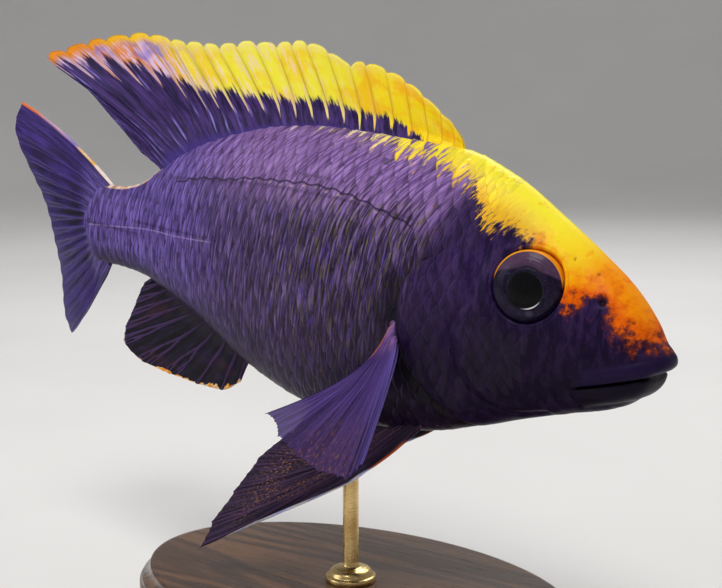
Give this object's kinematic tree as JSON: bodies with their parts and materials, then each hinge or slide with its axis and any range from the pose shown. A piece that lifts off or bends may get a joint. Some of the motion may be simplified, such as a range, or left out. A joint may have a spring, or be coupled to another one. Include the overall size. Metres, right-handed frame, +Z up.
{
  "type": "peacock cichlid display model",
  "caption": "Life-size male peacock cichlid with spread fins, nose slightly down, held by a rod on a flat oval display base.",
  "frame": {"origin": "centre of the bounding box at the underside of the base", "axes": "+X towards the fish's snout, -Y out of its right flank, +Z up from the floor"},
  "size_m": [0.139, 0.052, 0.095],
  "materials": {
    "skin": "scaled, satin, violet with a yellow blaze",
    "dorsal": "satin, yellow over a dark base",
    "fin": "satin, violet",
    "eye": "clear gloss, near black",
    "wood": "dark, waxed",
    "brass": "brushed"
  },
  "bodies": {
    "root": {"head": "skin", "torso": "skin", "tail_base": "skin", "dorsal_fin": "dorsal", "anal_fin": "fin", "caudal_fin": "fin", "pelvic_fin_right": "fin", "pelvic_fin_left": "fin", "pectoral_fin_right": "fin", "pectoral_fin_left": "fin", "eye_right": "eye", "eye_left": "eye", "stand_base": "wood", "stand_rod": "brass"}
  },
  "joints": []
}
